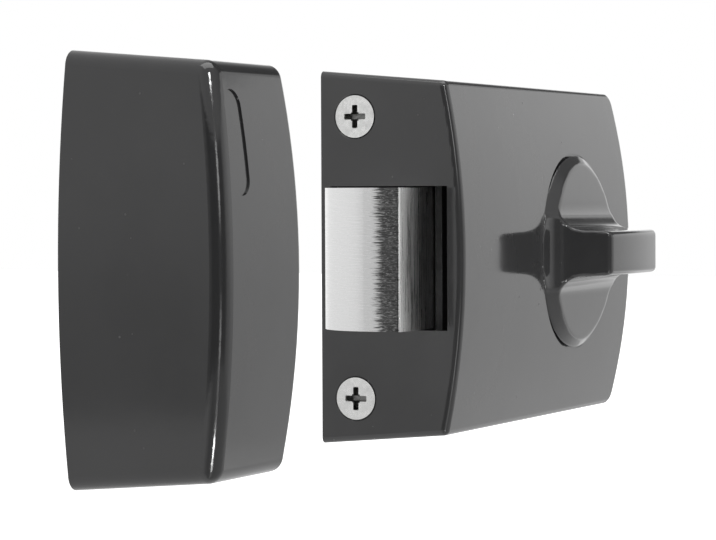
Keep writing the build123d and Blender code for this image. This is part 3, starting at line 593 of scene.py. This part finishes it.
def cross_driven(name, body, side):
    """A copy of a pair of screws, driven by a cross recess in heads that face along X."""
    low, high = (Vector(corner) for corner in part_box(name))
    face_x = low.x if side < 0 else high.x
    middle = (low + high) / 2
    spread = (high.z - low.z) / 2 - HEAD_RADIUS
    pair = merged_copy(name, name.replace("_screws", "_cross_screws"))
    for z in (middle.z - spread, middle.z + spread):
        for width, height, draft in (
            (ARM_LENGTH, ARM_WIDTH, ARM_DRAFT),
            (ARM_WIDTH, ARM_LENGTH, ARM_DRAFT),
            (STAR_WIDTH, STAR_WIDTH, STAR_DRAFT),
        ):
            cut_away(pair, recess_cutter((face_x, middle.y, z), width, height, side, draft))
    places = {"Y": (middle.y, 0.0), "Z": (middle.z, spread)}
    pair.data.materials.clear()
    pair.data.materials.append(bright_zinc(name + "_zinc", places, "Z", "X", (face_x, side)))
    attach(pair, body)
    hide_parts(name)


cross_driven("forend_screws", "lock_case", -1)
cross_driven("keeper_screws", "keeper", 1)
dress("cover_screws", bright_zinc("cover_screw_zinc", COVER_SCREWS, "XZ", "Y"))
dress("guide_screws", bright_zinc("guide_screw_zinc", GUIDE_SCREWS, "Z", "Y"))
dress("knob_screw", bright_zinc("knob_screw_zinc", KNOB_SCREW, "", "Y"))

# ---------------------------------------------------------------------------
# Latch bolt: drawn bar, brushed round its curved face and up its flat side,
# then chromed. The face that the keeper rubs is finely scored, and is near black
# there: a painted reflection of the dark keeper, broken into flecks.
CHROME = (0.83, 0.83, 0.83)
CHROME_SIDE = (0.85, 0.85, 0.84)
# Near black: a painted reflection of the keeper on the front of the bolt's tip
CHROME_PAINTED_REFLECTION = (0.045, 0.045, 0.045)
CHROME_SCORED = (0.30, 0.30, 0.30)
CHROME_ROUGHNESS = (0.20, 0.42)
SCORE_DEPTH = 0.000012
BRUSHED_ROUND = (260.0, 260.0, 9000.0)
BRUSHED_UP = (4200.0, 4200.0, 90.0)
RUB_AND_REFLECTION_FLECKS = (1500.0, 1500.0, 5200.0)
RUB_AND_REFLECTION_EDGE = (-0.0182, -0.0170)
RUB_AND_REFLECTION_RAGGED = 0.008
FLECK_EDGE = (0.48, 0.72)
FLECK_SHARE = 0.60
# How a face's normal tells the flat side and the front of the bevel
SIDE_FACING = (-0.9, -0.6)
FRONT_FACING = (-0.98, -0.90)
# Scores: where it is worn, all over, and how much of the grain they take
WORN_SHARE = 0.45
NEW_SHARE = 0.04
SCORE_EDGE = (0.35, 0.75)
GRAIN_EDGE = (0.2, 0.8)
FAINT_GRAIN = 0.25


def stretch(tree, place, scale):
    node = add_node(tree, "ShaderNodeMapping", Scale=scale)
    join(tree, place, node.inputs["Vector"])
    return node.outputs["Vector"]


bolt_chrome, tree, shader = new_material("bolt_chrome", 1.0)
place = place_of(tree)
facing = tree.nodes.new("ShaderNodeSeparateXYZ")
normal = tree.nodes.new("ShaderNodeNewGeometry").outputs["True Normal"]
join(tree, normal, facing.inputs["Vector"])
spot = tree.nodes.new("ShaderNodeSeparateXYZ")
join(tree, place, spot.inputs["Vector"])
flat_side = ramp_between(tree, facing.outputs["Y"], *SIDE_FACING, 1.0, 0.0)
round_grain = noise(tree, stretch(tree, place, BRUSHED_ROUND), 1.0, 3.0, 0.7)
upright_grain = noise(tree, stretch(tree, place, BRUSHED_UP), 1.0, 3.0, 0.6)
grain = mix_values(tree, flat_side, round_grain, upright_grain)
ragged = maths(tree, "MULTIPLY", maths(tree, "SUBTRACT", round_grain, 0.5), RUB_AND_REFLECTION_RAGGED)
across = maths(tree, "ADD", spot.outputs["Y"], ragged)
# Painted reflection: where the tip faces the keeper, its colour is made near black as a
# reflection of the keeper; the same mask marks the keeper's rub for the scores
rubbed_and_reflection = ramp_between(tree, across, *RUB_AND_REFLECTION_EDGE, 1.0, 0.0)
in_front = ramp_between(tree, facing.outputs["X"], *FRONT_FACING, 1.0, 0.0)
rubbed_and_reflection = maths(tree, "MULTIPLY", rubbed_and_reflection, in_front)
fleck = noise(tree, stretch(tree, place, RUB_AND_REFLECTION_FLECKS), 1.0, 2.0, 0.8)
flecks = ramp_between(tree, fleck, *FLECK_EDGE, 1.0, FLECK_SHARE)
rubbed_and_reflection = maths(tree, "MULTIPLY", rubbed_and_reflection, flecks)
colour = blend_colours(tree, rubbed_and_reflection, CHROME, CHROME_PAINTED_REFLECTION)
colour = blend_colours(tree, flat_side, colour, CHROME_SIDE)
worn = maths(tree, "MULTIPLY", maths(tree, "MAXIMUM", flat_side, rubbed_and_reflection), WORN_SHARE)
worn = maths(tree, "ADD", worn, NEW_SHARE)
scored = maths(tree, "MULTIPLY", worn, ramp_between(tree, grain, *SCORE_EDGE))
colour = blend_colours(tree, scored, colour, CHROME_SCORED)
join(tree, colour, shader.inputs["Base Color"])
rough = ramp_between(tree, grain, *GRAIN_EDGE, *CHROME_ROUGHNESS)
join(tree, rough, shader.inputs["Roughness"])
scores = maths(tree, "MULTIPLY", grain, maths(tree, "ADD", scored, FAINT_GRAIN))
relief(tree, shader, scores, SCORE_DEPTH)
dress("latch_bolt", bolt_chrome)

# ---------------------------------------------------------------------------
# Plates, cover and guide: cold rolled strip, pressed and zinc plated, with the
# faint rolling lines of the strip and cloudy patches in the plating.
PLATE_BRIGHT = (0.70, 0.71, 0.72)
PLATE_DULL = (0.56, 0.57, 0.57)
GUIDE_BLACK = (0.035, 0.035, 0.036)
GUIDE_SHADE = (0.022, 0.022, 0.022)
PLATE_ROUGHNESS = 0.26
GUIDE_ROUGHNESS = 0.42
GUIDE_METAL = 0.3
LINE_ROUGHNESS = 0.16
STRIP_LINES = 2600.0
LINE_DEPTH = 0.000008
LINE_STRETCH = 120.0
CLOUDS = 110.0
CLOUD_EDGE = (0.35, 0.65)
SCRATCHES = (600.0, 600.0, 5000.0)
SCRATCH_EDGE = (0.70, 0.76)
SCRATCH_SHINE = 1.25

rolled, rolled_in, rolled_out = new_group(
    "rolled_strip",
    [("Place", "NodeSocketVector", None), ("Lines", "NodeSocketFloat", STRIP_LINES)],
    [("Height", "NodeSocketFloat"), ("Cloud", "NodeSocketFloat"), ("Scratch", "NodeSocketFloat")],
)
where = rolled_in.outputs["Place"]
pull = rolled.nodes.new("ShaderNodeCombineXYZ")
pull.inputs["X"].default_value = LINE_STRETCH
join(rolled, rolled_in.outputs["Lines"], pull.inputs["Y"])
join(rolled, rolled_in.outputs["Lines"], pull.inputs["Z"])
pulled = add_node(rolled, "ShaderNodeVectorMath", operation="MULTIPLY")
join(rolled, where, pulled.inputs[0])
join(rolled, pull.outputs["Vector"], pulled.inputs[1])
lines = noise(rolled, pulled.outputs["Vector"], 1.0, 3.0, 0.6)
join(rolled, lines, rolled_out.inputs["Height"])
cloud = ramp_between(rolled, noise(rolled, where, CLOUDS, 4.0, 0.6), *CLOUD_EDGE)
join(rolled, cloud, rolled_out.inputs["Cloud"])
scratch = noise(rolled, stretch(rolled, where, SCRATCHES), 1.0, 1.0)
join(rolled, ramp_between(rolled, scratch, *SCRATCH_EDGE), rolled_out.inputs["Scratch"])


def plated(name, bright, dull, lines, roughness, metallic=1.0):
    """Metal with rolling or drawing lines, cloudy patches and a few scratches."""
    material, tree, shader = new_material(name, metallic)
    strip = group_node(tree, rolled, place_of(tree))
    strip.inputs["Lines"].default_value = lines
    colour = blend_colours(tree, strip.outputs["Cloud"], bright, dull)
    lighter = tuple(min(1.0, part * SCRATCH_SHINE) for part in bright)
    colour = blend_colours(tree, strip.outputs["Scratch"], colour, lighter)
    join(tree, colour, shader.inputs["Base Color"])
    duller = roughness + LINE_ROUGHNESS
    rough = ramp_between(tree, strip.outputs["Height"], *GRAIN_EDGE, roughness, duller)
    join(tree, rough, shader.inputs["Roughness"])
    relief(tree, shader, strip.outputs["Height"], LINE_DEPTH)
    return material


plate_zinc = plated("plate_zinc", PLATE_BRIGHT, PLATE_DULL, STRIP_LINES, PLATE_ROUGHNESS)
for name in ("mounting_plate", "back_cover", "keeper_plate"):
    dress(name, plate_zinc)
guide_zinc = plated(
    "guide_black_zinc", GUIDE_BLACK, GUIDE_SHADE, STRIP_LINES, GUIDE_ROUGHNESS, GUIDE_METAL
)
dress("bolt_guide", guide_zinc)

# ---------------------------------------------------------------------------
# Inner steel: the tail, hub, lever, rod, washer and pins, blanked or turned
# from bright bar and left lightly oiled.
STEEL_BRIGHT = (0.58, 0.57, 0.55)
STEEL_OILED = (0.42, 0.41, 0.39)
BAR_LINES = 4200.0
STEEL_ROUGHNESS = 0.22

inner_steel = plated("inner_steel", STEEL_BRIGHT, STEEL_OILED, BAR_LINES, STEEL_ROUGHNESS)
for name in (
    "bolt_tail",
    "bolt_pins",
    "tail_stop_pin",
    "spring_rod",
    "hub_washer",
    "drive_hub",
    "deadlock_lever",
    "lever_pivot",
):
    dress(name, inner_steel)

# ---------------------------------------------------------------------------
# Spring steel: the bolt's spring and the lever's washer, patented wire and
# strip with a dark drawn skin.
SPRING_SKIN = (0.36, 0.36, 0.37)
SPRING_SHADE = (0.24, 0.24, 0.25)
DRAWN_LINES = 7000.0
SPRING_ROUGHNESS = 0.30

spring_steel = plated("spring_steel", SPRING_SKIN, SPRING_SHADE, DRAWN_LINES, SPRING_ROUGHNESS)
dress("bolt_spring", spring_steel)
dress("lever_washer", spring_steel)

# ---------------------------------------------------------------------------
# Nylon bush for the stem of the knob, moulded in its natural milky colour,
# with the faint flow lines of the mould.
NYLON_PALE = (0.84, 0.82, 0.76)
NYLON_DEEP = (0.74, 0.71, 0.64)
NYLON_ROUGHNESS = (0.38, 0.52)
NYLON_GLOW = 0.15
NYLON_GLOW_DEPTH = 0.001
FLOW_LINES = (180.0, 900.0, 180.0)
FLOW_DEPTH = 0.00002

nylon, tree, shader = new_material("nylon")
flow = noise(tree, stretch(tree, place_of(tree), FLOW_LINES), 1.0, 3.0)
join(tree, blend_colours(tree, flow, NYLON_PALE, NYLON_DEEP), shader.inputs["Base Color"])
rough = ramp_between(tree, flow, *GRAIN_EDGE, *NYLON_ROUGHNESS)
join(tree, rough, shader.inputs["Roughness"])
shader.inputs["Subsurface Weight"].default_value = NYLON_GLOW
shader.inputs["Subsurface Scale"].default_value = NYLON_GLOW_DEPTH
relief(tree, shader, flow, FLOW_DEPTH)
dress("knob_bush", nylon)

# ---------------------------------------------------------------------------
# Tail driver: a brass pressing, warm and a little tarnished, that the tail bar
# of the cylinder turns.
BRASS = (0.78, 0.60, 0.30)
BRASS_TARNISH = (0.58, 0.43, 0.22)
BRASS_LINES = 3400.0
BRASS_ROUGHNESS = 0.24

driver_brass = plated("driver_brass", BRASS, BRASS_TARNISH, BRASS_LINES, BRASS_ROUGHNESS)
dress("tail_driver", driver_brass)
